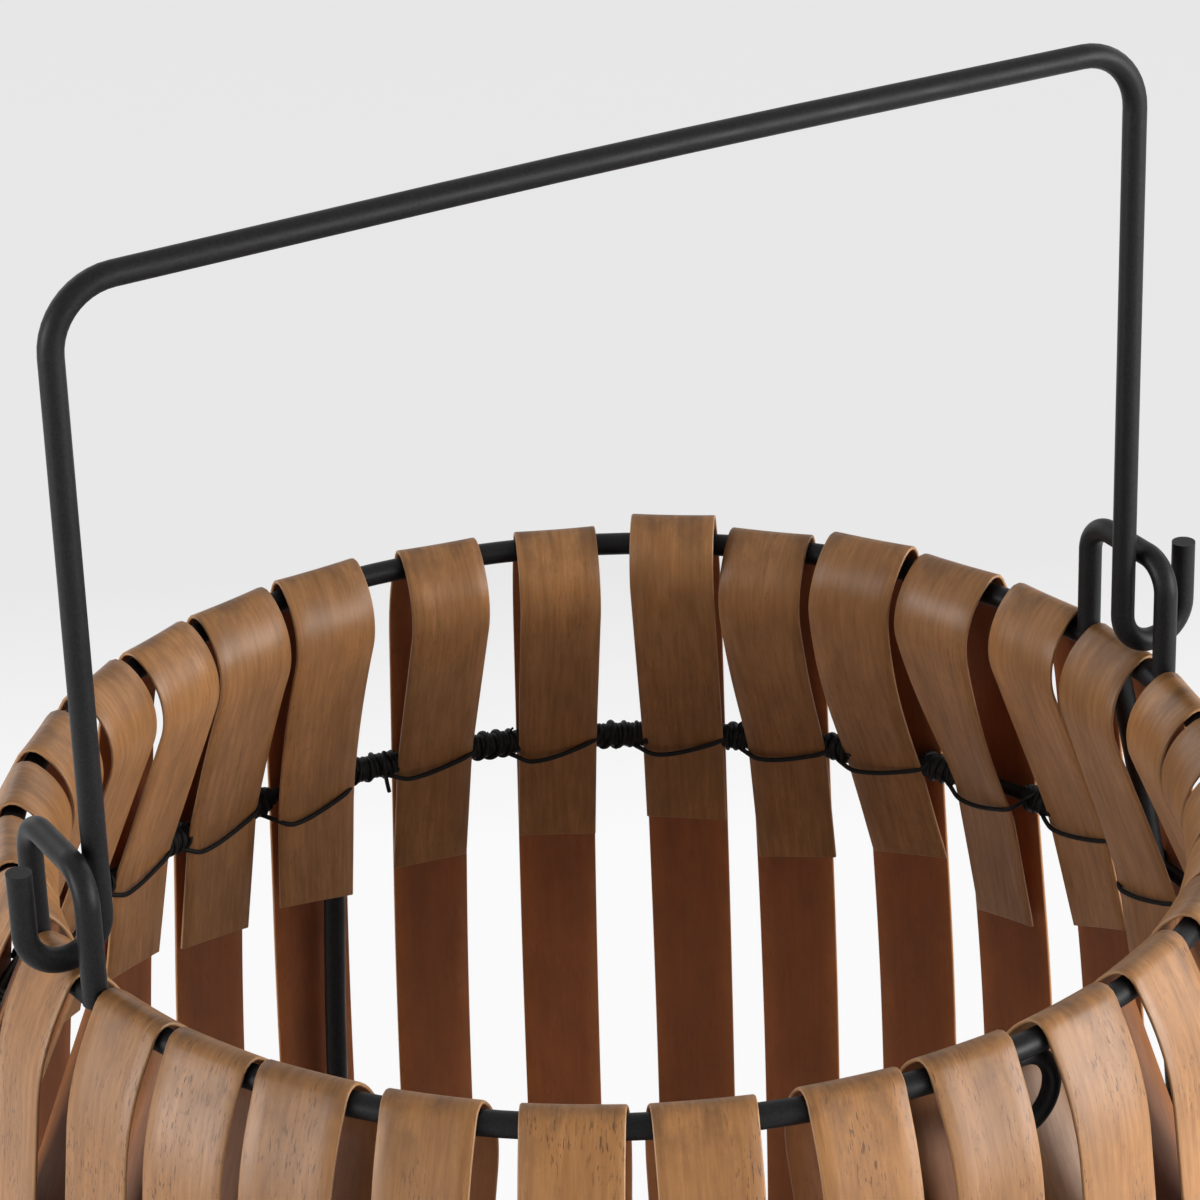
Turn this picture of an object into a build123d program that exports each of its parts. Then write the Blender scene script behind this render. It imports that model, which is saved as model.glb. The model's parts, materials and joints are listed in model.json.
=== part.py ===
"""Round candle lantern of bent wood strips on a wire frame, with a swinging wire bail.

Millimetres. +Z is up, +X runs through the two bail eyes, and the origin is the middle of the
underside, where the base plate rests on the ground.
"""

import os
from math import asin, atan2, cos, degrees, hypot, radians, sin, sqrt, tan

from build123d import *

# Wire frame
wire_diameter = 5.5
tie_ring_diameter = 3.5
ring_radius = 136.0
body_height = 400.0
tie_depth = 61.0
barrel_bulge = 24.5
weld_bite = 0.4
fit_gap = 0.3

# Bent strips
strip_width = 20.5
strip_thickness = 0.9
fold_rise = 4.4
fold_radius = 3.5
spring_depth = 13.0
spring_bend_radius = 60.0
straight_depth = 100.0
shoulder_reach = 13.4
shoulder_drop = 5.3
shoulder_radius = 16.0
shoulder_straight = 0.1
tail_bend_radius = 60.0
tail_gap = 0.5
tail_end_gap = 1.0
lower_tail_length = 33.0

# Each strip: place round the ring in degrees, free tail below the tie, extra height of its fold
strips = [
    (-0.8, 33, 0.0), (10.4, 32, 1.6), (22.2, 39, 1.6), (32.4, 30, 3.5),
    (43.9, 37, 0.5), (54.3, 27, 5.5), (67.0, 31, 0.5), (79.7, 34, 0.3),
    (93.6, 32, 1.5), (104.5, 37, 1.0), (115.0, 32, 1.2), (125.7, 33, 2.0),
    (137.5, 36, 2.0), (148.0, 30, 1.5), (158.3, 34, 0.2), (168.3, 31, 0.2),
    (181.0, 33, 0.0), (193.4, 30, 0.2), (203.2, 36, 0.2), (213.0, 32, 0.3),
    (224.4, 35, 0.2), (236.3, 30, 0.2), (247.1, 33, 0.2), (259.8, 37, 0.3),
    (270.6, 31, 0.8), (282.5, 34, 0.5), (293.7, 36, 0.5), (305.5, 30, 0.5),
    (316.0, 34, 0.2), (326.3, 32, 0.3), (336.6, 35, 0.2), (346.4, 31, 0.5),
]

# Uprights, by place round the ring; those behind a strip lie between its two layers
uprights = {"right": -1.8, "back": 90.7, "left": 187.2, "front": 270.8}
upright_drop = 2.6

# Wire ties that lash each tail to its tie ring
tie_wire_diameter = 1.2
tie_spread = 11.2
tie_sag = 2.0
tie_corner_radius = 1.5
tie_clearance = 0.1

# Bail and the two eyes that it hangs in
eye_spacing = 30.0
eye_height = 30.0
eye_corner_radius = 7.5
eye_shift = -3.6
bail_height = 154.6
bail_bow = 1.4
bail_bow_radius = 4000.0
bail_shift = -10.2
bail_corner_radius = 14.5
bail_hook_radius = 8.4
bail_hook_height = 30.2
bail_side_gap = 0.5
bail_rest_gap = 0.3
hook_straight = 0.2

# Small curled wire eyelet under the top ring
eyelet_wire_diameter = 4.0
eyelet_radius = 8.5
eyelet_place = 276.5
eyelet_start = 100.0
eyelet_sweep = 285.0

# Base plate, glass and candle
plate_thickness = 2.0
plate_margin = 2.0
plate_tab_width = 4.5
plate_tab_overlap = 1.0
tab_places = [-7.2, 86.2, 187.2, 276.5]
ridge_height = 3.0
ridge_width = 2.5
ridge_gap = 0.6
ridge_edge_radius = 1.0
glass_radius = 60.0
glass_height = 200.0
glass_wall = 3.0
glass_floor = 6.0
glass_lip_radius = 1.2
candle_radius = 35.0
candle_height = 100.0
candle_edge_radius = 3.0
wick_diameter = 2.2
wick_height = 12.0
wick_depth = 6.0
wick_gap = 0.05

# Worked out from the sizes above
wire_radius = wire_diameter / 2
tie_ring_radius = tie_ring_diameter / 2
half_height = body_height / 2
bottom_z = plate_thickness + wire_radius
top_z = bottom_z + body_height
middle_z = bottom_z + half_height
fold_clear = wire_radius + fit_gap + strip_thickness / 2
arc_radius = (half_height**2 + barrel_bulge**2) / (2 * barrel_bulge)
arc_centre = ring_radius + fold_clear + barrel_bulge - arc_radius
tie_inset = strip_thickness / 2 + fit_gap / 2 + tie_ring_radius
upright_inset = tie_inset + tie_ring_radius + wire_radius - weld_bite
tie_height = half_height - tie_depth
spring_height = half_height - spring_depth
straight_height = half_height - straight_depth
eye_x = ring_radius - fit_gap / 2
leg_x = eye_x - wire_diameter - bail_side_gap
tail_x = leg_x + 2 * bail_hook_radius + hook_straight
bar_z = top_z + bail_height
hook_end_z = top_z + bail_hook_height
eyelet_z = top_z - wire_radius - eyelet_radius + weld_bite
plate_radius = ring_radius - shoulder_reach - plate_margin
tab_reach = ring_radius + plate_tab_overlap
ridge_inner = glass_radius + ridge_gap
candle_z = plate_thickness + glass_floor
candle_top = candle_z + candle_height


def barrel_radius(height, inset):
    """Radius of the barrel's curve, moved in by inset, at a height from its middle."""
    return arc_centre + sqrt((arc_radius - inset) ** 2 - height**2)


tie_radius = barrel_radius(tie_height, tie_inset)

# A strip's end runs straight on from the barrel, springs in below the ring and folds over it
straight_radius = barrel_radius(straight_height, 0)
straight_slope = straight_height / sqrt(arc_radius**2 - straight_height**2)
spring_radius = straight_radius - (straight_depth - spring_depth) * straight_slope
spring_reach = hypot(spring_radius - ring_radius, spring_depth)
fold_lean = atan2(spring_radius - ring_radius, spring_depth) - asin(fold_clear / spring_reach)
spring_run = sqrt(spring_reach**2 - fold_clear**2)


def radial_plane(place):
    """Upright plane through the axis: local x runs outwards, local y runs up."""
    angle = radians(place)
    return Plane(origin=(0, 0, 0), x_dir=(cos(angle), sin(angle), 0), z_dir=(sin(angle), -cos(angle), 0))


def strip_over_upright(place):
    """True where an upright stands between the two layers of the strip."""
    reach = degrees((strip_width / 2 + wire_radius) / ring_radius)
    return any(abs((place - post + 180) % 360 - 180) < reach for post in uprights.values())


def tail_pass_inset(place):
    """How far inside the barrel's curve a tail lies where it passes its tie ring."""
    over_upright = upright_inset + wire_radius
    over_ring = tie_inset + tie_ring_radius
    carried_by = over_upright if strip_over_upright(place) else over_ring
    return carried_by + tail_gap + strip_thickness / 2


def tail_end_inset(place):
    """How far inside the barrel's curve a tail ends."""
    if strip_over_upright(place):
        return tail_pass_inset(place)
    return strip_thickness + tail_end_gap


def fold_points(place, tail_length, extra_rise, side):
    """Corners of one folded end, from its cut end to the barrel, above (1) or below (-1) the middle."""
    end_height = tie_height - tail_length
    fold_run = spring_run + fold_rise + extra_rise
    corners = [
        (barrel_radius(end_height, tail_end_inset(place)), end_height),
        (barrel_radius(tie_height, tail_pass_inset(place)), tie_height),
        (ring_radius - shoulder_reach, half_height - shoulder_drop + extra_rise),
        (spring_radius - fold_run * sin(fold_lean), spring_height + fold_run * cos(fold_lean)),
        (spring_radius, spring_height),
        (straight_radius, straight_height),
    ]
    return [(radius, middle_z + side * height) for radius, height in corners]


def bend_share(before, corner, after):
    """Length that a bend takes from each side of its corner, for each unit of its radius."""
    turn = (Vector(corner) - Vector(before)).get_angle(Vector(after) - Vector(corner))
    return tan(radians(turn) / 2)


def fold_radii(points):
    """Bend radii of one folded end. The shoulder's leaves the run to the fold room for the fold's own."""
    tie_pass, shoulder, fold, spring = points[1:5]
    run = hypot(fold[0] - shoulder[0], fold[1] - shoulder[1])
    room = run - fold_radius * bend_share(shoulder, fold, spring) - shoulder_straight
    shoulder_limit = room / bend_share(tie_pass, shoulder, fold)
    return [tail_bend_radius, min(shoulder_radius, shoulder_limit), fold_radius, spring_bend_radius]


def make_strip(place, tail_length, extra_rise):
    """A strip: outer run over the barrel, folded in over both rings, with a tail at each end."""
    plane = radial_plane(place)
    upper = fold_points(place, tail_length, extra_rise, 1)
    lower = fold_points(place, lower_tail_length, 0, -1)
    with BuildPart() as strip:
        with BuildLine(plane) as path:
            FilletPolyline(*upper, radius=fold_radii(upper))
            ThreePointArc(upper[-1], (barrel_radius(0, 0), middle_z), lower[-1])
            FilletPolyline(*lower[::-1], radius=fold_radii(lower)[::-1])
        whole = path.wire()
        start_plane = Plane(origin=whole @ 0, x_dir=plane.z_dir, z_dir=whole % 0)
        with BuildSketch(start_plane):
            Rectangle(strip_width, strip_thickness)
        sweep(path=whole)
    return strip.part


def make_ring(radius, height, diameter):
    """A closed wire ring."""
    with BuildPart() as ring:
        with BuildSketch(Plane.XZ):
            with Locations((radius, height)):
                Circle(diameter / 2)
        revolve(axis=Axis.Z)
    return ring.part


def make_upright(place):
    """A bowed rod welded to the inside of all four rings, cut to their shape."""
    reach = half_height - upright_drop
    end_radius = barrel_radius(reach, upright_inset)
    with BuildPart() as upright:
        with BuildLine(radial_plane(place)) as path:
            ThreePointArc(
                (end_radius, middle_z + reach),
                (barrel_radius(0, upright_inset), middle_z),
                (end_radius, middle_z - reach),
            )
        with BuildSketch(Plane(origin=path.line @ 0, z_dir=path.line % 0)):
            Circle(wire_radius)
        sweep()
        for ring in rings.values():
            add(ring, mode=Mode.SUBTRACT)
    return upright.part


def make_eye(side):
    """An inverted U of wire standing on the top ring, at +X (1) or -X (-1)."""
    half = eye_spacing / 2
    low = top_z
    high = top_z + eye_height
    plane = Plane(origin=(side * eye_x, eye_shift, 0), x_dir=(0, 1, 0), z_dir=(1, 0, 0))
    with BuildPart() as eye:
        with BuildLine(plane) as path:
            FilletPolyline((-half, low), (-half, high), (half, high), (half, low), radius=eye_corner_radius)
        with BuildSketch(Plane(origin=path.wire() @ 0, z_dir=path.wire() % 0)):
            Circle(wire_radius)
        sweep(path=path.wire())
        add(rings["top_ring"], mode=Mode.SUBTRACT)
    return eye.part


def make_tie(inward, side):
    """One wire tie: hooked over the tie ring on each side of a strip, with a run across its tail."""
    reach = tie_ring_radius + tie_wire_diameter / 2 + tie_clearance
    origin = (tie_radius, 0, middle_z + side * tie_height)
    plane = Plane(origin=origin, x_dir=(0, 1, 0), z_dir=(0, 0, 1))
    half_tie = [(-tie_ring_radius, reach), (inward, reach), (inward, -tie_sag)]
    left = [(-tie_spread, depth, side * height) for depth, height in half_tie]
    right = [(tie_spread, depth, side * height) for depth, height in half_tie[::-1]]
    with BuildPart() as tie:
        with BuildLine(plane) as path:
            FilletPolyline(*left, *right, radius=tie_corner_radius)
        with BuildSketch(Plane(origin=path.wire() @ 0, z_dir=path.wire() % 0)):
            Circle(tie_wire_diameter / 2)
        sweep(path=path.wire())
    return tie.part


def make_ties(side):
    """The wire ties of one tie ring, one for each strip."""
    over = tie_ring_radius + strip_thickness + tail_gap + tie_wire_diameter / 2 + 2 * tie_clearance
    post_depth = upright_inset + wire_radius - tie_inset - tie_ring_radius
    plain = make_tie(over, side)
    wide = make_tie(over + post_depth, side)
    places = [place for place, tail_length, extra_rise in strips]
    with BuildPart() as ties:
        with Locations(*[Location((0, 0, 0), (0, 0, p)) for p in places if not strip_over_upright(p)]):
            add(plain)
        with Locations(*[Location((0, 0, 0), (0, 0, p)) for p in places if strip_over_upright(p)]):
            add(wide)
    return ties.part


def save(part, name):
    """Label a finished piece and write it."""
    part.label = name
    export_step(part, f"parts/{name}.step")


os.makedirs("parts", exist_ok=True)

# Rings
rings = {
    "top_ring": make_ring(ring_radius, top_z, wire_diameter),
    "upper_tie_ring": make_ring(tie_radius, middle_z + tie_height, tie_ring_diameter),
    "lower_tie_ring": make_ring(tie_radius, middle_z - tie_height, tie_ring_diameter),
    "bottom_ring": make_ring(ring_radius, bottom_z, wire_diameter),
}
for name, ring in rings.items():
    save(ring, name)

# Uprights
for name, place in uprights.items():
    save(make_upright(place), f"upright_{name}")

# Strips
strip_parts = [make_strip(*strip) for strip in strips]
for number, strip_part in enumerate(strip_parts, start=1):
    save(strip_part, f"strip_{number:02d}")

# Wire ties
save(make_ties(1), "upper_wire_ties")
save(make_ties(-1), "lower_wire_ties")

# Bail eyes
save(make_eye(1), "eye_right")
save(make_eye(-1), "eye_left")

# Bail, with a hook at each end that passes through its eye and rests on the fold below
fold_top = strip_parts[0].bounding_box().max.Z
hinge_z = fold_top + bail_rest_gap + wire_radius
with BuildPart() as bail_handle:
    with BuildLine(Plane.XZ.offset(-bail_shift)) as bail_path:
        FilletPolyline(
            (-tail_x, hook_end_z),
            (-tail_x, hinge_z),
            (-leg_x, hinge_z),
            (-leg_x, bar_z),
            (0, bar_z + bail_bow),
            (leg_x, bar_z),
            (leg_x, hinge_z),
            (tail_x, hinge_z),
            (tail_x, hook_end_z),
            radius=[
                bail_hook_radius,
                bail_hook_radius,
                bail_corner_radius,
                bail_bow_radius,
                bail_corner_radius,
                bail_hook_radius,
                bail_hook_radius,
            ],
        )
    bail_wire = bail_path.wire()
    with BuildSketch(Plane(origin=bail_wire @ 0, z_dir=bail_wire % 0)):
        Circle(wire_radius)
    sweep(path=bail_wire)
save(bail_handle.part, "bail_handle")

# Curled eyelet, its upper end welded to the underside of the top ring
eyelet_angle = radians(eyelet_place)
eyelet_plane = Plane(
    origin=(ring_radius * cos(eyelet_angle), ring_radius * sin(eyelet_angle), eyelet_z),
    x_dir=(-sin(eyelet_angle), cos(eyelet_angle), 0),
    z_dir=(cos(eyelet_angle), sin(eyelet_angle), 0),
)
with BuildPart() as curled_eyelet:
    with BuildLine(eyelet_plane) as eyelet_path:
        CenterArc((0, 0), eyelet_radius, eyelet_start, -eyelet_sweep)
    with BuildSketch(Plane(origin=eyelet_path.line @ 0, z_dir=eyelet_path.line % 0)):
        Circle(eyelet_wire_diameter / 2)
    sweep()
    add(rings["top_ring"], mode=Mode.SUBTRACT)
save(curled_eyelet.part, "curled_eyelet")

# Base plate, with tabs that reach under the bottom ring between the strips
with BuildPart() as base_plate:
    with BuildSketch():
        Circle(plate_radius)
        for tab_place in tab_places:
            with Locations(Location((0, 0, 0), (0, 0, tab_place))):
                with Locations((tab_reach / 2, 0)):
                    Rectangle(tab_reach, plate_tab_width)
    extrude(amount=plate_thickness)
    with BuildSketch(Plane.XY.offset(plate_thickness)):
        Circle(ridge_inner + ridge_width)
        Circle(ridge_inner, mode=Mode.SUBTRACT)
    extrude(amount=ridge_height)
    ridge_top = base_plate.edges().group_by(Axis.Z)[-1]
    fillet(ridge_top, ridge_edge_radius)
save(base_plate.part, "base_plate")

# Glass cylinder
with BuildPart() as glass_cylinder:
    with BuildSketch(Plane.XY.offset(plate_thickness)):
        Circle(glass_radius)
    extrude(amount=glass_height)
    with BuildSketch(Plane.XY.offset(plate_thickness + glass_floor)):
        Circle(glass_radius - glass_wall)
    extrude(amount=glass_height - glass_floor, mode=Mode.SUBTRACT)
    glass_lip = glass_cylinder.edges().group_by(Axis.Z)[-1]
    glass_foot = glass_cylinder.edges().group_by(Axis.Z)[0]
    fillet(glass_lip + glass_foot, glass_lip_radius)
save(glass_cylinder.part, "glass_cylinder")

# Candle and its wick
with BuildPart() as pillar_candle:
    with BuildSketch(Plane.XY.offset(candle_z)):
        Circle(candle_radius)
    extrude(amount=candle_height)
    fillet(pillar_candle.edges().group_by(Axis.Z)[-1], candle_edge_radius)
    with Locations((0, 0, candle_top)):
        Hole(wick_diameter / 2 + wick_gap, depth=wick_depth)
save(pillar_candle.part, "pillar_candle")

with BuildPart() as wick:
    with BuildSketch(Plane.XY.offset(candle_top - wick_depth)):
        Circle(wick_diameter / 2)
    extrude(amount=wick_depth + wick_height)
save(wick.part, "wick")
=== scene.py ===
"""Looks of a round candle lantern of bent wood strips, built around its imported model.

Sizes are in millimetres and are turned into metres when a mesh is made. Every piece is in the
model's own frame: +Z is up and +X runs through the two bail eyes.
"""

import json
import random
from math import asin, atan2, ceil, cos, degrees, hypot, pi, radians, sin, sqrt, tan

import bpy
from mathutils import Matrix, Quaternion, Vector


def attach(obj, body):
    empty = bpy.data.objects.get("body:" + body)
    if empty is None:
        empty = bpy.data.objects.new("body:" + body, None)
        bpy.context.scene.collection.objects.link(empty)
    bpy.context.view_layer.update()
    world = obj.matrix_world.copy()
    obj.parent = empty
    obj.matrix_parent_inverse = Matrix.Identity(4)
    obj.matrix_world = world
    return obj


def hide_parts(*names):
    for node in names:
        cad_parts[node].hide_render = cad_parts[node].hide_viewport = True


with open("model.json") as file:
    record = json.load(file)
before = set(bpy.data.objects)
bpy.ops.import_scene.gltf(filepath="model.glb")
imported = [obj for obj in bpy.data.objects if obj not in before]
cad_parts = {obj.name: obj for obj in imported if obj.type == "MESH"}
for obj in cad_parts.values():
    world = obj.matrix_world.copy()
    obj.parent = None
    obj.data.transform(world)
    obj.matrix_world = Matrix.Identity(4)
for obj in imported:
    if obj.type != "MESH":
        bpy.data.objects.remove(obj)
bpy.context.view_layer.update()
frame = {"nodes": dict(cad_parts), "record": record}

mm = 0.001

# Camera, as fitted to the photograph
camera_place = Vector((-0.4255, -0.7665, 0.8740))
camera_target = Vector((-0.0026, 0.0015, 0.4543))
camera_roll = radians(-1.85)
camera_lens = 133.2
camera_sensor = 36.0
photo_turn = radians(-29.035)

# Wire frame, as in the model
wire_diameter = 5.5
tie_ring_diameter = 3.5
ring_radius = 136.0
body_height = 400.0
tie_depth = 61.0
barrel_bulge = 24.5
weld_bite = 0.4
fit_gap = 0.3
plate_thickness = 2.0
uprights = [-1.8, 90.7, 187.2, 270.8]

# Bent strips, as in the model
strip_width = 20.5
strip_thickness = 0.9
fold_rise = 4.4
fold_radius = 3.5
spring_depth = 13.0
spring_bend_radius = 60.0
straight_depth = 100.0
shoulder_reach = 13.4
shoulder_drop = 5.3
shoulder_radius = 16.0
shoulder_straight = 0.1
tail_bend_radius = 60.0
tail_gap = 0.5
tail_end_gap = 1.0
lower_tail_length = 33.0

# Each strip: place in degrees, free tail below the tie, extra height of its fold,
# sideways shift of its tail at the tie and at its end, and slope of its cut end
strips = [
    (-0.8, 33, 0.0, -7.0, -8.0, 0.05), (10.4, 32, 1.6, 0.0, -1.0, -0.42),
    (22.2, 39, 1.6, -1.9, -3.1, -0.28), (32.4, 30, 3.5, 2.7, -1.2, -0.17),
    (43.9, 37, 0.5, -0.4, -0.8, -0.10), (54.3, 27, 5.5, 0.2, 0.5, 0.02),
    (67.0, 31, 0.5, 0.2, 0.5, 0.04), (79.7, 34, 0.3, 0.2, 0.5, 0.0),
    (93.6, 32, 1.5, 0.7, -0.1, 0.18), (104.5, 37, 1.0, -1.5, -3.0, 0.12),
    (115.0, 32, 1.2, -0.4, -2.5, 0.05), (125.7, 33, 2.0, 0.0, 0.0, 0.05),
    (137.5, 36, 2.0, 0.2, 0.5, -0.05), (148.0, 30, 1.5, -0.2, -0.5, 0.04),
    (158.3, 34, 0.2, 0.2, 0.5, 0.03), (168.3, 31, 0.2, -0.2, -0.5, -0.04),
    (181.0, 33, 0.0, 0.2, 0.5, 0.02), (193.4, 30, 0.2, 0.0, 0.0, 0.05),
    (203.2, 36, 0.2, 0.2, 0.5, -0.03), (213.0, 32, 0.3, -0.2, -0.5, 0.06),
    (224.4, 35, 0.2, 0.2, 0.5, 0.02), (236.3, 30, 0.2, 0.0, 0.0, -0.06),
    (247.1, 33, 0.2, -0.2, -0.5, 0.04), (259.8, 37, 0.3, 0.2, 0.5, 0.03),
    (270.6, 31, 0.8, 0.0, 0.0, -0.02), (282.5, 34, 0.5, 0.2, 0.5, 0.05),
    (293.7, 36, 0.5, -0.2, -0.5, 0.02), (305.5, 30, 0.5, 0.2, 0.5, -0.05),
    (316.0, 34, 0.2, 0.0, 0.0, 0.04), (326.3, 32, 0.3, 0.2, 0.5, 0.03),
    (336.6, 35, 0.2, -0.2, -0.5, -0.03), (346.4, 31, 0.5, 0.2, 0.5, 0.02),
]

# A tail that is lashed to one side of its strip, by strip number, and how soon it gets there
tail_shifts = {26: -2.5}
shift_run = 26.0

# Strips whose outer run leans sideways, by strip number
run_shifts = {2: -1.5, 3: -2.0, 4: -0.3, 5: 0.7, 6: 0.4, 7: 0.5, 8: -0.3, 9: -6.0, 10: -4.0, 11: -3.0}

# Strips that were cut wider than the rest, by strip number, and by how much
wide_strips = {1: 1.0, 3: 1.6, 4: 1.4, 9: 1.6, 10: 1.4}

# Strips whose tail is twisted where it passes the tie ring, by strip number
tail_turns = {1: radians(8), 3: radians(-15)}

# Strips whose shoulder leans sideways between the fold and the tie, by strip number
shoulder_shifts = {3: 3.0, 4: 3.0, 5: 1.4, 9: 1.5, 10: 1.5}

# How a strip's mesh is made
strip_step = 5.0
fold_step = 1.6
strip_columns = [-1.0, -0.97, -0.62, -0.2, 0.2, 0.62, 0.97, 1.0]
edge_thinning = 0.55
cupping = 0.15
fold_stain_reach = 14.0
# Share of the inner face's painted shade that the back of each tail gets, and strips whose tail back gets
# a share of its own (none where it is seen lit)
tail_shade_share = 0.6
tail_shade_by_strip = {26: 0.0}
width_play = 0.35
run_play = 0.8
lower_play = 1.0
tail_twist = radians(2.5)
cut_fade = 14.0
cut_edge = 0.3
grain_unit = 100.0
grain_spacing = 3.7

# Binding wire that lashes each tail to its tie ring
binding_diameter = 1.2
binding_gap = 0.15
run_margin = 1.15
run_start = -2.6
run_rise = (-0.4, 1.2)
run_sag = (1.4, 2.6)
run_points = 9
run_edge_dip = 0.25
least_room = 2.0
upright_room = 2.0
wrap_pitch = 1.1
wrap_points = 10
wrap_share = 1.3
wrap_overlap = 0.6
wrap_extra = 1.5
wrap_tilt = 0.6
wrap_swell = (0.0, 0.3)
loose_turns = 3
loose_spread = 0.4
loose_tilt = 1.6
loose_swell = (0.5, 1.0)
curl_radius = 1.5
curl_sizes = (0.6, 1.15)
curl_setbacks = (0.2, 0.9)
curl_lifts = (0.7, 1.1)
curl_depths = (0.0, 2.2)
curl_tilt = 0.5
curl_share = 0.5
curl_chance = 0.8
curl_points = 12
curl_start = -2.7
curl_step = 0.46
spike_length = 2.4
spike_spread = 0.4
spike_sizes = (0.6, 1.0)
spike_depths = (-0.8, 1.2)
spike_lean = 0.8
spike_shares = (0.8, 0.3)
most_spikes = 3
loose_end_length = 7.0
loose_end_share = 0.9
loose_end_strip = 8

# Floor and backdrop: the floor's glow turns grey away from the camera as painted shade, between two
# distances in metres
floor_size = 12.0
floor_colour = (0.82, 0.82, 0.82, 1.0)
floor_painted_shade = [(0.72, 1.0), (0.98, 0.845)]
floor_glow = 0.92
backdrop_colour = (0.812, 0.812, 0.82, 1.0)
world_strength = 0.02

# Lamps: place as seen in the photograph, size and power; all face one point, in metres and watts
lamp_target = Vector((0, 0, 0.35))
lamps = {
    "top_lamp": ((-0.2, 0.1, 2.3), 1.5, 2),
    "right_side_lamp": ((1.9, -0.2, 0.9), 1.2, 19),
    "right_low_lamp": ((1.9, -0.7, 0.6), 1.0, 28),
    "left_low_lamp": ((-1.9, -0.7, 0.6), 1.0, 26),
    "right_front_lamp": ((1.5, -1.4, 0.6), 1.0, 6),
    "left_front_lamp": ((-1.5, -1.4, 0.6), 1.0, 3),
    "left_back_lamp": ((-1.3, 1.4, 1.2), 1.2, 6),
    "right_back_lamp": ((1.3, 1.4, 1.2), 1.2, 3),
}

# Worked out from the sizes above
wire_radius = wire_diameter / 2
tie_ring_radius = tie_ring_diameter / 2
half_height = body_height / 2
middle_z = plate_thickness + wire_radius + half_height
fold_clear = wire_radius + fit_gap + strip_thickness / 2
arc_radius = (half_height**2 + barrel_bulge**2) / (2 * barrel_bulge)
arc_centre = ring_radius + fold_clear + barrel_bulge - arc_radius
tie_inset = strip_thickness / 2 + fit_gap / 2 + tie_ring_radius
upright_inset = tie_inset + tie_ring_radius + wire_radius - weld_bite
tie_height = half_height - tie_depth
spring_height = half_height - spring_depth
straight_height = half_height - straight_depth
binding_radius = binding_diameter / 2


def barrel_radius(height, inset):
    """Radius of the barrel's curve, moved in by inset, at a height from its middle."""
    return arc_centre + sqrt((arc_radius - inset) ** 2 - height**2)


tie_radius = barrel_radius(tie_height, tie_inset)
straight_radius = barrel_radius(straight_height, 0)
straight_slope = straight_height / sqrt(arc_radius**2 - straight_height**2)
spring_radius = straight_radius - (straight_depth - spring_depth) * straight_slope
spring_reach = hypot(spring_radius - ring_radius, spring_depth)
fold_lean = atan2(spring_radius - ring_radius, spring_depth) - asin(fold_clear / spring_reach)
spring_run = sqrt(spring_reach**2 - fold_clear**2)


def seen(right, away, up):
    """A point given as seen in the photograph, turned into the model's frame, in metres."""
    return Vector((
        right * cos(photo_turn) - away * sin(photo_turn),
        right * sin(photo_turn) + away * cos(photo_turn),
        up,
    ))


def around(place, radius, height):
    """A point at a place round the axis in degrees, in metres."""
    angle = radians(place)
    return Vector((radius * cos(angle) * mm, radius * sin(angle) * mm, height * mm))


def near_upright(place, reach):
    """True where a place is less than reach, in degrees, from an upright."""
    return any(abs((place - post + 180) % 360 - 180) < reach for post in uprights)


def over_upright(place):
    """True where an upright stands between the two layers of the strip."""
    return near_upright(place, degrees((strip_width / 2 + wire_radius) / ring_radius))


def limited(share):
    """A share kept between 0 and 1."""
    return min(max(share, 0.0), 1.0)


def eased(share):
    """A share that starts and ends gently."""
    return share**2 * (3 - 2 * share)


# Materials
def add_node(tree, kind, inputs=None, **settings):
    """A new node, with its settings and its inputs, which are values or sockets to link."""
    made = tree.nodes.new(kind)
    for name, value in settings.items():
        setattr(made, name, value)
    for name, value in (inputs or {}).items():
        if isinstance(value, bpy.types.NodeSocket):
            tree.links.new(value, made.inputs[name])
        else:
            made.inputs[name].default_value = value
    return made


def new_material(name):
    """A material with its node tree and its main shader."""
    material = bpy.data.materials.new(name)
    material.use_nodes = True
    tree = material.node_tree
    return material, tree, tree.nodes["Principled BSDF"]


def ramp(tree, value, stops):
    """A colour ramp through stops of (place, grey or colour)."""
    made = add_node(tree, "ShaderNodeValToRGB", {"Fac": value})
    elements = made.color_ramp.elements
    while len(elements) < len(stops):
        elements.new(0.5)
    for element, (place, colour) in zip(elements, stops):
        element.position = place
        rgb = colour if isinstance(colour, tuple) else (colour, colour, colour)
        element.color = (*rgb, 1.0)
    return made.outputs["Color"]


def noise(tree, coordinates, scale, detail=4.0, roughness=0.55):
    """Noise over coordinates that are first stretched by scale."""
    stretched = add_node(tree, "ShaderNodeMapping", {"Vector": coordinates, "Scale": scale})
    made = add_node(
        tree,
        "ShaderNodeTexNoise",
        {"Vector": stretched.outputs["Vector"], "Scale": 1.0, "Detail": detail, "Roughness": roughness},
    )
    return made.outputs["Fac"]


def mixed(tree, share, first, second, blend="MIX"):
    """Two colours mixed by a share."""
    made = add_node(tree, "ShaderNodeMix", data_type="RGBA", blend_type=blend)
    for socket, value in ((made.inputs[0], share), (made.inputs[6], first), (made.inputs[7], second)):
        if isinstance(value, bpy.types.NodeSocket):
            tree.links.new(value, socket)
        else:
            socket.default_value = value if isinstance(value, float) else (*value, 1.0)
    return made.outputs[2]


def calculated(tree, operation, first, second):
    """One sum, product or other step of arithmetic."""
    made = add_node(tree, "ShaderNodeMath", operation=operation)
    for socket, value in zip(made.inputs, (first, second)):
        if isinstance(value, bpy.types.NodeSocket):
            tree.links.new(value, socket)
        else:
            socket.default_value = value
    return made.outputs["Value"]


def add_bump(tree, shader, height, strength, depth):
    """Bump from a height, with its full depth in millimetres."""
    bump = add_node(
        tree, "ShaderNodeBump", {"Height": height, "Strength": strength, "Distance": depth * mm}
    )
    tree.links.new(bump.outputs["Normal"], shader.inputs["Normal"])


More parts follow.
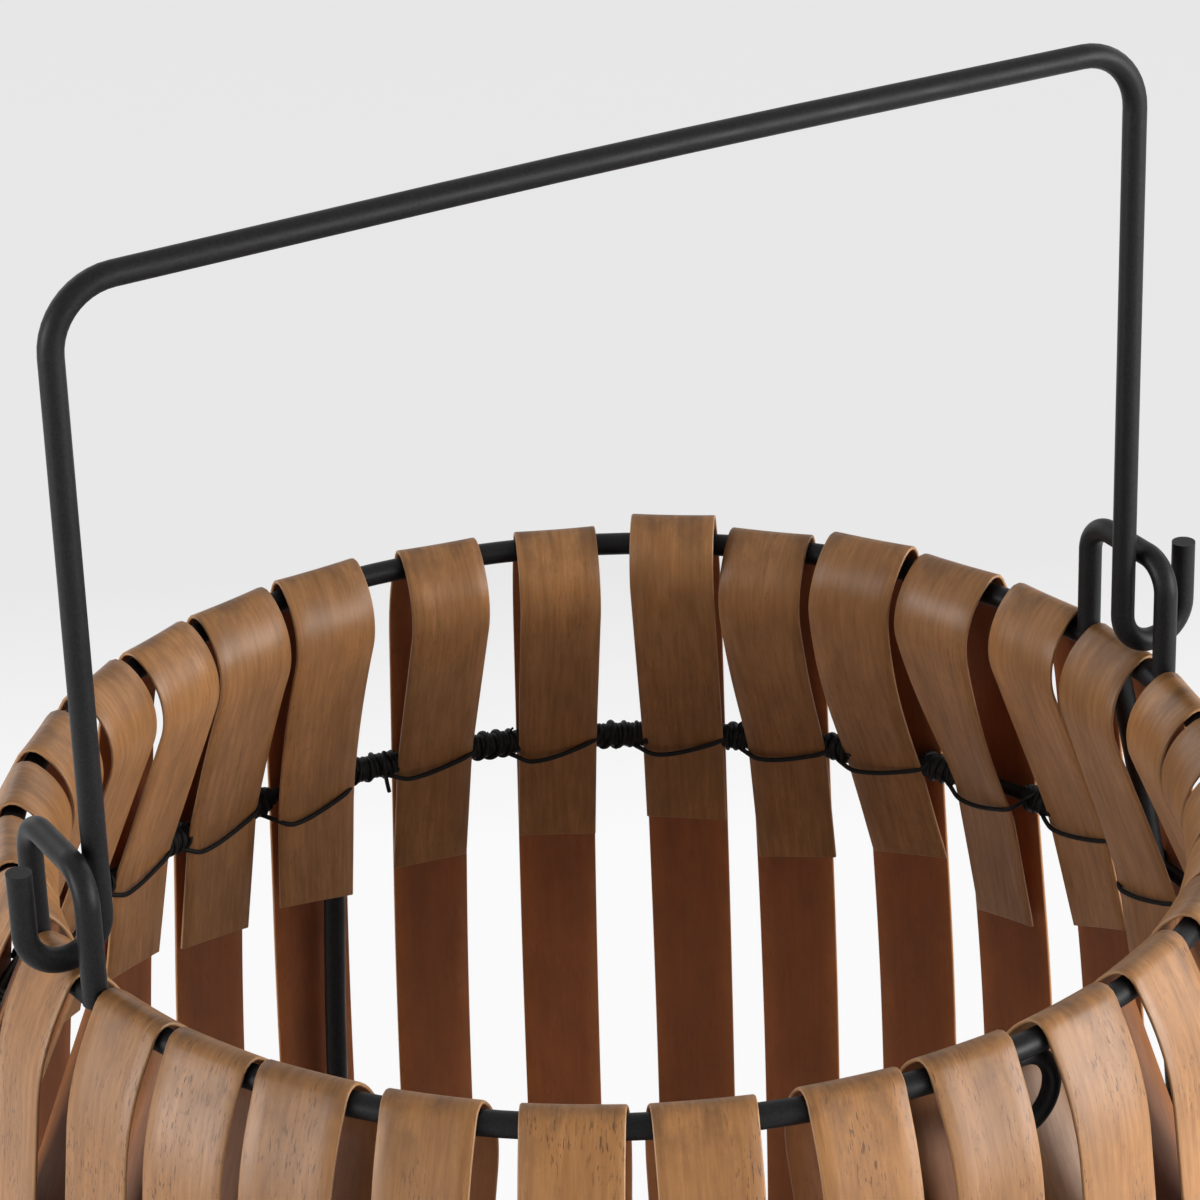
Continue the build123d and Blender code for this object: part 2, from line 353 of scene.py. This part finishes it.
def make_wood():
    """Satin veneer: soft clouds, stains over the folds and short dark flecks along the grain, with
    painted shade on the inner face, a painted orange glow near its edges and paler cut edges.
    """
    material, tree, shader = new_material("strip_wood")
    grain = add_node(tree, "ShaderNodeUVMap", uv_map="grain").outputs["UV"]
    inner_shade = add_node(tree, "ShaderNodeAttribute", attribute_name="inner_face_shade").outputs["Fac"]
    outside = add_node(tree, "ShaderNodeAttribute", attribute_name="outside").outputs["Fac"]
    fold = add_node(tree, "ShaderNodeAttribute", attribute_name="fold").outputs["Fac"]
    edge = add_node(tree, "ShaderNodeAttribute", attribute_name="edge").outputs["Fac"]
    streaks = noise(tree, grain, (75.0, 5.5, 1.0), 5.0, 0.62)
    clouds = noise(tree, grain, (9.0, 2.6, 1.0), 4.0, 0.6)
    tone = noise(tree, grain, (0.21, 0.35, 1.0), 2.0)
    stains = noise(tree, grain, (13.0, 7.5, 1.0), 4.0, 0.65)
    specks = noise(tree, grain, (200.0, 30.0, 1.0), 3.0, 0.6)
    patches = noise(tree, grain, (9.0, 3.0, 1.0), 2.0)
    outer_base = ramp(tree, streaks, [
        (0.30, (0.315, 0.139, 0.045)),
        (0.50, (0.402, 0.185, 0.064)),
        (0.70, (0.478, 0.231, 0.087)),
    ])
    # Painted shade: the strip's inner face, which looks into the barrel, gets a darker, redder copy of
    # the wood colour
    inner_shade_colour = ramp(tree, streaks, [
        (0.30, (0.285, 0.086, 0.026)),
        (0.50, (0.310, 0.096, 0.030)),
        (0.72, (0.335, 0.106, 0.034)),
    ])
    # Painted light: an orange glow painted near the edges of the inner face, where light would shine
    # through the thin wood
    painted_edge_glow = mixed(tree, ramp(tree, edge, [(0.55, 0.0), (1.0, 0.6)]), inner_shade_colour, (0.46, 0.150, 0.040))
    base = mixed(tree, inner_shade, outer_base, painted_edge_glow)
    clouded = mixed(tree, 0.60, base, ramp(tree, clouds, [(0.30, 0.34), (0.70, 0.65)]), "OVERLAY")
    toned = mixed(tree, 0.55, clouded, ramp(tree, tone, [(0.35, 0.40), (0.65, 0.60)]), "OVERLAY")
    smudge = ramp(tree, stains, [(0.46, 0.0), (0.62, 1.0)])
    much = ramp(tree, fold, [(0.0, 0.16), (1.0, 0.72)])
    stained = mixed(tree, calculated(tree, "MULTIPLY", smudge, much), toned, (0.165, 0.077, 0.031))
    thin = ramp(tree, specks, [(0.57, 0.0), (0.63, 1.0)])
    where = ramp(tree, patches, [(0.40, 0.0), (0.56, 1.0)])
    often = ramp(tree, outside, [(0.0, 0.25), (1.0, 0.85)])
    fleck = calculated(tree, "MULTIPLY", calculated(tree, "MULTIPLY", thin, where), often)
    flecked = mixed(tree, fleck, stained, (0.100, 0.042, 0.016))
    # Paler colour along the cut edges of each strip
    pale_cut_edge = ramp(tree, edge, [(0.975, 0.0), (1.0, 0.5)])
    colour = mixed(tree, pale_cut_edge, flecked, (0.56, 0.33, 0.16))
    tree.links.new(colour, shader.inputs["Base Color"])
    satin = ramp(tree, clouds, [(0.3, 0.48), (0.7, 0.38)])
    tree.links.new(mixed(tree, inner_shade, satin, (0.65, 0.65, 0.65)), shader.inputs["Roughness"])
    shader.inputs["Specular IOR Level"].default_value = 0.44
    height = calculated(tree, "SUBTRACT", streaks, fleck)
    add_bump(tree, shader, height, 0.25, 0.08)
    return material


def make_coat():
    """Satin black powder coat with a fine pebbled surface."""
    material, tree, shader = new_material("black_coat")
    place = add_node(tree, "ShaderNodeTexCoord").outputs["Object"]
    pebble = noise(tree, place, (1500.0, 1500.0, 1500.0), 3.0, 0.6)
    patch = noise(tree, place, (90.0, 90.0, 90.0), 3.0)
    colour = ramp(tree, pebble, [(0.35, (0.007, 0.007, 0.008)), (0.75, (0.017, 0.017, 0.018))])
    tree.links.new(colour, shader.inputs["Base Color"])
    tree.links.new(ramp(tree, patch, [(0.3, 0.38), (0.7, 0.52)]), shader.inputs["Roughness"])
    shader.inputs["Specular IOR Level"].default_value = 0.18
    add_bump(tree, shader, pebble, 0.3, 0.1)
    return material


def make_binding():
    """Dark annealed binding wire."""
    material, tree, shader = new_material("binding_wire")
    place = add_node(tree, "ShaderNodeTexCoord").outputs["Object"]
    patch = noise(tree, place, (420.0, 420.0, 420.0), 3.0)
    colour = ramp(tree, patch, [(0.3, (0.006, 0.006, 0.006)), (0.75, (0.018, 0.017, 0.016))])
    tree.links.new(colour, shader.inputs["Base Color"])
    tree.links.new(ramp(tree, patch, [(0.3, 0.44), (0.7, 0.60)]), shader.inputs["Roughness"])
    shader.inputs["Specular IOR Level"].default_value = 0.15
    add_bump(tree, shader, patch, 0.3, 0.05)
    return material


def make_glass():
    """Clear glass with faint waves."""
    material, tree, shader = new_material("clear_glass")
    place = add_node(tree, "ShaderNodeTexCoord").outputs["Object"]
    waves = noise(tree, place, (22.0, 22.0, 9.0), 2.0)
    shader.inputs["Base Color"].default_value = (0.95, 0.97, 0.96, 1.0)
    shader.inputs["Transmission Weight"].default_value = 1.0
    shader.inputs["IOR"].default_value = 1.47
    tree.links.new(ramp(tree, waves, [(0.3, 0.01), (0.8, 0.04)]), shader.inputs["Roughness"])
    add_bump(tree, shader, waves, 0.15, 0.6)
    return material


def make_wax():
    """Ivory wax with a faint mottle."""
    material, tree, shader = new_material("candle_wax")
    place = add_node(tree, "ShaderNodeTexCoord").outputs["Object"]
    mottle = noise(tree, place, (60.0, 60.0, 35.0), 5.0, 0.6)
    grain = noise(tree, place, (900.0, 900.0, 900.0), 2.0)
    colour = ramp(tree, mottle, [(0.3, (0.66, 0.57, 0.42)), (0.7, (0.80, 0.73, 0.59))])
    tree.links.new(colour, shader.inputs["Base Color"])
    tree.links.new(ramp(tree, mottle, [(0.3, 0.38), (0.7, 0.52)]), shader.inputs["Roughness"])
    shader.inputs["Subsurface Weight"].default_value = 0.35
    shader.inputs["Subsurface Radius"].default_value = (0.008, 0.005, 0.003)
    shader.inputs["Subsurface Scale"].default_value = 1.0
    add_bump(tree, shader, grain, 0.12, 0.1)
    return material


def make_wick():
    """Braided cotton."""
    material, tree, shader = new_material("wick_cotton")
    place = add_node(tree, "ShaderNodeTexCoord").outputs["Object"]
    turned = add_node(tree, "ShaderNodeMapping", {"Vector": place, "Rotation": (0.9, 0.6, 0.0)})
    braid = add_node(
        tree,
        "ShaderNodeTexWave",
        {"Vector": turned.outputs["Vector"], "Scale": 420.0, "Distortion": 1.5, "Detail": 2.0},
    ).outputs["Fac"]
    colour = ramp(tree, braid, [(0.2, (0.42, 0.37, 0.28)), (0.8, (0.78, 0.73, 0.62))])
    tree.links.new(colour, shader.inputs["Base Color"])
    shader.inputs["Roughness"].default_value = 0.9
    add_bump(tree, shader, braid, 0.6, 0.25)
    return material


wood = make_wood()
coat = make_coat()
binding = make_binding()
glass = make_glass()
wax = make_wax()
cotton = make_wick()

node_materials = {
    "black_wire": coat,
    "base_sheet": coat,
    "tie_wire": binding,
    "wood_strip": wood,
    "clear_glass": glass,
    "wax": wax,
    "wick_cord": cotton,
}
for subpart in frame["record"]["subparts"]:
    obj = frame["nodes"][subpart["node"]]
    obj.data.materials.clear()
    obj.data.materials.append(node_materials[subpart["material_slot"]])


# Strips
def divided(start, end, step):
    """Points from start up to, but not at, end."""
    count = max(1, ceil((end - start).length / step))
    return [start.lerp(end, k / count) for k in range(count)]


def rounded(corners, radii):
    """Points along a line through corners, with each inner corner rounded to its radius."""
    points = []
    last = corners[0]
    for before, corner, after, radius in zip(corners, corners[1:], corners[2:], radii):
        back = (before - corner).normalized()
        ahead = (after - corner).normalized()
        half_angle = back.angle(ahead) / 2
        start = corner + back * (radius / tan(half_angle))
        end = corner + ahead * (radius / tan(half_angle))
        centre = corner + (back + ahead).normalized() * (radius / sin(half_angle))
        turn = pi - 2 * half_angle
        count = max(3, ceil(radius * turn / fold_step))
        points += divided(last, start, strip_step)
        for k in range(count):
            share = k / count
            first = sin((1 - share) * turn) / sin(turn)
            second = sin(share * turn) / sin(turn)
            points.append(centre + (start - centre) * first + (end - centre) * second)
        last = end
    points += divided(last, corners[-1], strip_step) + [corners[-1]]
    points.insert(1, points[0] + (points[1] - points[0]).normalized() * cut_edge)
    return points


def bend_share(before, corner, after):
    """Length that a bend takes from each side of its corner, for each unit of its radius."""
    return tan((corner - before).angle(after - corner) / 2)


def fold_points(place, tail_length, extra_rise, side):
    """Points of one folded end, from its cut end to the barrel, above (1) or below (-1) the middle."""
    doubled = over_upright(place)
    carried_by = upright_inset + wire_radius if doubled else tie_inset + tie_ring_radius
    pass_inset = carried_by + tail_gap + strip_thickness / 2
    end_inset = pass_inset if doubled else strip_thickness + tail_end_gap
    end_height = tie_height - tail_length
    fold_run = spring_run + fold_rise + extra_rise
    corners = [
        Vector((barrel_radius(end_height, end_inset), end_height)),
        Vector((barrel_radius(tie_height, pass_inset), tie_height)),
        Vector((ring_radius - shoulder_reach, half_height - shoulder_drop + extra_rise)),
        Vector((spring_radius - fold_run * sin(fold_lean), spring_height + fold_run * cos(fold_lean))),
        Vector((spring_radius, spring_height)),
        Vector((straight_radius, straight_height)),
    ]
    tie_pass, shoulder, fold, spring = corners[1:5]
    room = (fold - shoulder).length - fold_radius * bend_share(shoulder, fold, spring) - shoulder_straight
    bend = min(shoulder_radius, room / bend_share(tie_pass, shoulder, fold))
    points = rounded(corners, [tail_bend_radius, bend, fold_radius, spring_bend_radius])
    return [Vector((p.x, middle_z + side * p.y)) for p in points]


def outer_run():
    """Points down the outside of the barrel, between the straight ends of a strip."""
    count = ceil(2 * straight_height / strip_step)
    heights = [straight_height * (1 - 2 * k / count) for k in range(1, count)]
    return [Vector((barrel_radius(height, 0), middle_z + height)) for height in heights]


def running_length(path):
    """Length along a path at each of its points."""
    length = [0.0]
    for a, b in zip(path, path[1:]):
        length.append(length[-1] + (b - a).length)
    return length


def ribbon_faces(rows):
    """Faces of a closed ribbon whose rows are loops of points, with a cap at each end."""
    loop = 2 * len(strip_columns)
    last = (rows - 1) * loop
    faces = []
    for k in range(rows - 1):
        for c in range(loop):
            d = (c + 1) % loop
            faces.append((k * loop + c, k * loop + d, (k + 1) * loop + d, (k + 1) * loop + c))
    for c in range(len(strip_columns) - 1):
        d = loop - 1 - c
        faces.append((c, d, d - 1, c + 1))
        faces.append((last + c, last + c + 1, last + d - 1, last + d))
    return faces


def add_strip(number, points, faces, grain, surface):
    """The finished strip with its grain and surface values, in place of its solid."""
    mesh = bpy.data.meshes.new(f"bent_strip_{number:02d}")
    mesh.from_pydata(points, [], faces)
    layer = mesh.uv_layers.new(name="grain")
    for corner in mesh.loops:
        layer.data[corner.index].uv = grain[corner.vertex_index]
    for name, values in surface.items():
        mesh.attributes.new(name, "FLOAT", "POINT").data.foreach_set("value", values)
    mesh.shade_smooth()
    mesh.materials.append(wood)
    strip = bpy.data.objects.new(mesh.name, mesh)
    bpy.context.scene.collection.objects.link(strip)
    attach(strip, "frame")
    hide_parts(f"strip_{number:02d}")


def make_strip(number, place, tail_length, extra_rise, tie_shift, end_shift, cut):
    """One bent strip as a thin closed ribbon, with its grain laid out along it."""
    chance = random.Random(number)
    upper = fold_points(place, tail_length, extra_rise, 1)
    lower = fold_points(place, lower_tail_length, 0, -1)[::-1]
    path = upper + outer_run() + lower
    length = running_length(path)
    heights = [point.y for point in path]
    upper_fold = length[heights.index(max(heights))]
    lower_fold = length[heights.index(min(heights))]
    tie_run = upper_fold - tail_length
    full_width = strip_width + wide_strips.get(number, 0.0)
    width = full_width / 2 + chance.uniform(-width_play, width_play)
    wander = run_shifts.get(number, chance.uniform(-run_play, run_play))
    lower_lean = chance.uniform(-lower_play, lower_play)
    twist = chance.uniform(-tail_twist, tail_twist)
    tail_turn = tail_turns.get(number, 0.0)
    angle = radians(place)
    outward = Vector((cos(angle), sin(angle), 0))
    sideways = Vector((-sin(angle), cos(angle), 0))
    points = []
    grain = []
    surface = {"inner_face_shade": [], "outside": [], "fold": [], "edge": []}
    for k, point in enumerate(path):
        along = path[min(k + 1, len(path) - 1)] - path[max(k - 1, 0)]
        along.normalize()
        upper_share = max(0.0, 1 - length[k] / upper_fold)
        lower_share = max(0.0, (length[k] - lower_fold) / (length[-1] - lower_fold))
        run_share = limited((length[k] - upper_fold) / (lower_fold - upper_fold))
        to_shift = limited((upper_fold - length[k]) / shift_run)
        to_tie = limited((upper_fold - length[k]) / tie_run)
        past_tie = limited(1 - length[k] / tail_length)
        tied = eased(to_tie)
        shift = tie_shift * tied + (end_shift - tie_shift) * past_tie
        shift += shoulder_shifts.get(number, 0.0) * sin(pi * to_tie)
        shift += lower_lean * lower_share**2 + wander * sin(pi * run_share)
        shift += tail_shifts.get(number, 0.0) * eased(to_shift)
        turn = twist * (upper_share**3 - lower_share**3) + tail_turn * tied
        normal = outward * -along.y + Vector((0, 0, along.x))
        forward = outward * along.x + Vector((0, 0, along.y))
        across = sideways * cos(turn) + normal * sin(turn)
        centre = outward * point.x + Vector((0, 0, point.y)) + sideways * shift
        centre += normal * width * sin(abs(tail_turn) * tied)
        from_end = min(length[k], length[-1] - length[k])
        slant = cut * max(0.0, 1 - from_end / cut_fade)
        from_fold = min(abs(length[k] - upper_fold), abs(length[k] - lower_fold))
        fold_stain = max(0.0, 1 - from_fold / fold_stain_reach)
        on_run = upper_fold < length[k] < lower_fold
        # Painted shade on the back face: full on the outer run's inner face, a share of it on the tails
        inner_shade_share = 1.0 if on_run else tail_shade_by_strip.get(number, tail_shade_share)
        for face in (1, -1):
            for column in strip_columns[::face]:
                depth = face * strip_thickness / 2
                if abs(column) == 1.0:
                    depth *= edge_thinning
                depth += cupping * column**2
                side = column * width
                points.append((centre + across * side + normal * depth + forward * side * slant) * mm)
                grain.append(((side / grain_unit + number * grain_spacing), length[k] / grain_unit))
                surface["inner_face_shade"].append(inner_shade_share if face < 0 else 0.0)
                surface["outside"].append(1.0 if on_run and face > 0 else 0.0)
                surface["fold"].append(fold_stain)
                surface["edge"].append(abs(column))
    add_strip(number, points, ribbon_faces(len(path)), grain, surface)


for number, strip in enumerate(strips, start=1):
    make_strip(number, *strip)


# Binding wire
def lash_points(place, side, points):
    """Points given as (along the ring, inwards from it, above it), put at a place on a tie ring."""
    height = middle_z + side * tie_height
    placed = []
    for along, inward, above in points:
        radius = tie_radius - inward
        placed.append(around(place + degrees(along / tie_radius), radius, height + side * above))
    return placed


def add_wire(curve, points, start_share=1.0, end_share=None):
    """One smooth run of wire through its control points, as shares of the wire's full thickness."""
    spline = curve.splines.new("NURBS")
    spline.points.add(len(points) - 1)
    last_share = start_share if end_share is None else end_share
    for k, (control, point) in enumerate(zip(spline.points, points)):
        control.co = (*point, 1.0)
        control.radius = start_share + (last_share - start_share) * k / (len(points) - 1)
    spline.order_u = 3
    spline.use_endpoint_u = True


def lash_run(chance, number):
    """The bowed run of wire across one tail: it dips below the wraps and rises to the other edge."""
    over = tie_ring_radius + tail_gap + strip_thickness + binding_radius + binding_gap
    if over_upright(strips[number - 1][0]):
        over += upright_inset + wire_radius - tie_inset - tie_ring_radius
    half = (strip_width + wide_strips.get(number, 0.0)) / 2
    reach = half + run_margin
    turn = tail_turns.get(number, 0.0)
    high = chance.uniform(*run_rise)
    sag = chance.uniform(*run_sag)
    run = [(reach + 2.6, 0.6, -tie_ring_radius), (reach + 1.6, 1.8, -tie_ring_radius - binding_radius)]
    for k in range(run_points):
        share = k / (run_points - 1)
        along = reach * (1 - 2 * share)
        above = run_start + (high - run_start) * share**1.6 - sag * sin(pi * share**0.6)
        near_edge = max(0.0, abs(along) - half) / run_margin
        lifted = half * tan(abs(turn)) + along * tan(turn)
        run.append((along, over * (1 - run_edge_dip * near_edge) + lifted, above))
    run += [
        (-reach - 0.8, 1.0, tie_ring_radius + binding_radius + 0.2),
        (-reach - 1.4, -tie_ring_radius - 0.4, tie_ring_radius * 0.6),
    ]
    return run


def lash_wrap(chance, reach, turns, layer):
    """Turns of wire round the tie ring, tight in the first layer and loose in the next."""
    start = chance.uniform(0, 2 * pi)
    tilts = []
    for turn in range(turns + 1):
        tight_tilt = chance.uniform(-wrap_tilt, wrap_tilt)
        tilts.append(tight_tilt + layer * chance.uniform(-loose_tilt, loose_tilt))
    swells = []
    for turn in range(turns + 1):
        tight_swell = chance.uniform(*wrap_swell)
        swells.append(tight_swell + layer * chance.uniform(*loose_swell))
    wrap = []
    for k in range(turns * wrap_points + 1):
        turn, step = divmod(k, wrap_points)
        ahead = min(turn + 1, turns)
        share = step / wrap_points
        tilt = tilts[turn] * (1 - share) + tilts[ahead] * share
        out = tie_ring_radius + binding_radius + swells[turn] * (1 - share) + swells[ahead] * share
        angle = start + 2 * pi * k / wrap_points * (-1 if layer else 1)
        along = (2 * k / (turns * wrap_points) - 1) * reach + tilt * sin(angle + 1.0)
        wrap.append((along, out * cos(angle), out * sin(angle)))
    return wrap


def lash_curl(chance, room, edge):
    """A small open loop of wire that stands up beside the edge of a tail."""
    size = curl_radius * chance.uniform(*curl_sizes)
    base = edge * (room / 2 - size * chance.uniform(*curl_setbacks))
    lift = tie_ring_radius + size * chance.uniform(*curl_lifts)
    inward = chance.uniform(*curl_depths)
    turn = chance.uniform(-curl_tilt, curl_tilt)
    curl = []
    for k in range(curl_points):
        angle = curl_start + k * curl_step
        spread = edge * size * sin(angle)
        curl.append((base + spread, inward + turn * spread, lift - size * cos(angle)))
    return curl


def lash_spike(chance, room):
    """A short cut end of wire that stands out of the wraps."""
    along = chance.uniform(-spike_spread, spike_spread) * room
    direction = chance.choice((1, 1, -1))
    reach = tie_ring_radius + spike_length * chance.uniform(*spike_sizes)
    inward = chance.uniform(*spike_depths)
    lean = chance.uniform(-spike_lean, spike_lean)
    return [
        (along, inward, direction * tie_ring_radius * 0.6),
        (along + lean * 0.3, inward, direction * (tie_ring_radius + reach) / 2),
        (along + lean, inward, direction * reach),
    ]


def lash_gap(curve, chance, middle, side, room):
    """The wraps, curls and cut ends between two tails."""
    turns = round((room + wrap_extra) / wrap_pitch)
    tight = lash_wrap(chance, room / 2 + wrap_overlap, turns, 0)
    loose = lash_wrap(chance, room * loose_spread, loose_turns, 1)
    add_wire(curve, lash_points(middle, side, tight), wrap_share)
    add_wire(curve, lash_points(middle, side, loose))
    for edge in (-1, 1):
        if chance.random() < curl_chance:
            add_wire(curve, lash_points(middle, side, lash_curl(chance, room, edge)), curl_share)
    for k in range(chance.randint(1, most_spikes)):
        add_wire(curve, lash_points(middle, side, lash_spike(chance, room)), *spike_shares)


def make_lashing(name, side, node):
    """The binding wire of one tie ring: a bowed run over each tail, wraps, curls and cut ends."""
    chance = random.Random(100 + side)
    curve = bpy.data.curves.new(name, "CURVE")
    curve.dimensions = "3D"
    curve.bevel_depth = binding_radius * mm
    curve.bevel_resolution = 2
    curve.resolution_u = 3
    curve.use_fill_caps = True
    curve.materials.append(binding)
    places = []
    for number, strip in enumerate(strips, start=1):
        shift = tail_shifts.get(number, 0.0) + strip[3] if side > 0 else 0.0
        places.append(strip[0] + degrees(shift / tie_radius))
    for number, place in enumerate(places):
        add_wire(curve, lash_points(place, side, lash_run(chance, number + 1)))
        gap = (places[(number + 1) % len(places)] - place) % 360
        middle = place + gap / 2
        room = radians(gap) * tie_radius - strip_width
        if room >= least_room and not near_upright(middle, upright_room):
            lash_gap(curve, chance, middle, side, room)
    loose_end = [
        (3.0, 1.5, -tie_ring_radius),
        (3.2, 2.0, -loose_end_length / 2),
        (2.6, 2.4, -loose_end_length),
    ]
    loose_place = places[loose_end_strip - 1] + degrees(strip_width / 2 / tie_radius)
    add_wire(curve, lash_points(loose_place, side, loose_end), loose_end_share)
    lashing = bpy.data.objects.new(name, curve)
    bpy.context.scene.collection.objects.link(lashing)
    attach(lashing, "frame")
    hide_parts(node)


make_lashing("upper_lashing", 1, "upper_wire_ties")
make_lashing("lower_lashing", -1, "lower_wire_ties")


# Floor, backdrop, lamps and camera
def shown_ray(tree):
    """1 for rays that show a surface to the camera, directly, in a reflection or through glass."""
    path = add_node(tree, "ShaderNodeLightPath")
    mirrored = calculated(
        tree, "MAXIMUM", path.outputs["Is Glossy Ray"], path.outputs["Is Transmission Ray"]
    )
    return calculated(tree, "MAXIMUM", path.outputs["Is Camera Ray"], mirrored)


def mix_shaders(tree, share, first, second, output):
    """Two shaders mixed by a share and sent to the output."""
    both = add_node(tree, "ShaderNodeMixShader", {"Fac": share})
    tree.links.new(first, both.inputs[1])
    tree.links.new(second, both.inputs[2])
    tree.links.new(both.outputs["Shader"], tree.nodes[output].inputs["Surface"])


def make_floor():
    """Pale floor, white near the lantern and light grey further back as painted shade, that keeps the
    shadow.
    """
    corners = [(-1, -1), (1, -1), (1, 1), (-1, 1)]
    mesh = bpy.data.meshes.new("floor")
    mesh.from_pydata([(x * floor_size, y * floor_size, 0) for x, y in corners], [], [(0, 1, 2, 3)])
    floor = bpy.data.objects.new("floor", mesh)
    bpy.context.scene.collection.objects.link(floor)
    material, tree, shader = new_material("pale_floor")
    mesh.materials.append(material)
    place = add_node(tree, "ShaderNodeTexCoord").outputs["Object"]
    distance = add_node(tree, "ShaderNodeVectorMath", operation="DOT_PRODUCT")
    tree.links.new(place, distance.inputs[0])
    distance.inputs[1].default_value = seen(0, 1, 0)
    # Painted shade: the floor's glow turns from white to light grey further from the camera
    pale = ramp(tree, distance.outputs["Value"], floor_painted_shade)
    shader.inputs["Base Color"].default_value = floor_colour
    shader.inputs["Roughness"].default_value = 0.9
    shader.inputs["Specular IOR Level"].default_value = 0.0
    glow = add_node(tree, "ShaderNodeEmission", {"Color": pale, "Strength": 1.0})
    share = calculated(tree, "MULTIPLY", shown_ray(tree), floor_glow)
    mix_shaders(tree, share, shader.outputs["BSDF"], glow.outputs["Emission"], "Material Output")


def make_backdrop():
    """A faint even light, and a light grey backdrop where the camera sees past the floor."""
    world = bpy.data.worlds.new("studio")
    bpy.context.scene.world = world
    world.use_nodes = True
    tree = world.node_tree
    lit = tree.nodes["Background"]
    lit.inputs["Color"].default_value = (1.0, 1.0, 1.0, 1.0)
    lit.inputs["Strength"].default_value = world_strength
    backdrop = add_node(tree, "ShaderNodeBackground", {"Color": backdrop_colour, "Strength": 1.0})
    share = shown_ray(tree)
    mix_shaders(tree, share, lit.outputs["Background"], backdrop.outputs["Background"], "World Output")


def add_lamp(name, place, size, power):
    """A soft square lamp that faces the lantern and isn't seen itself."""
    data = bpy.data.lights.new(name, "AREA")
    data.shape = "SQUARE"
    data.size = size
    data.energy = power
    lamp = bpy.data.objects.new(name, data)
    lamp.location = place
    lamp.rotation_mode = "QUATERNION"
    lamp.rotation_quaternion = (lamp_target - place).to_track_quat("-Z", "Y")
    lamp.visible_camera = False
    bpy.context.scene.collection.objects.link(lamp)


def add_camera():
    """The photograph's camera."""
    data = bpy.data.cameras.new("camera")
    data.lens = camera_lens
    data.sensor_width = camera_sensor
    camera = bpy.data.objects.new("camera", data)
    camera.location = camera_place
    camera.rotation_mode = "QUATERNION"
    facing = (camera_target - camera_place).to_track_quat("-Z", "Y")
    camera.rotation_quaternion = facing @ Quaternion((0, 0, 1), camera_roll)
    bpy.context.scene.collection.objects.link(camera)
    bpy.context.scene.camera = camera


make_floor()
make_backdrop()
for lamp_name, (lamp_place, lamp_size, lamp_power) in lamps.items():
    add_lamp(lamp_name, seen(*lamp_place), lamp_size, lamp_power)
add_camera()
bpy.context.scene.view_settings.view_transform = "Standard"
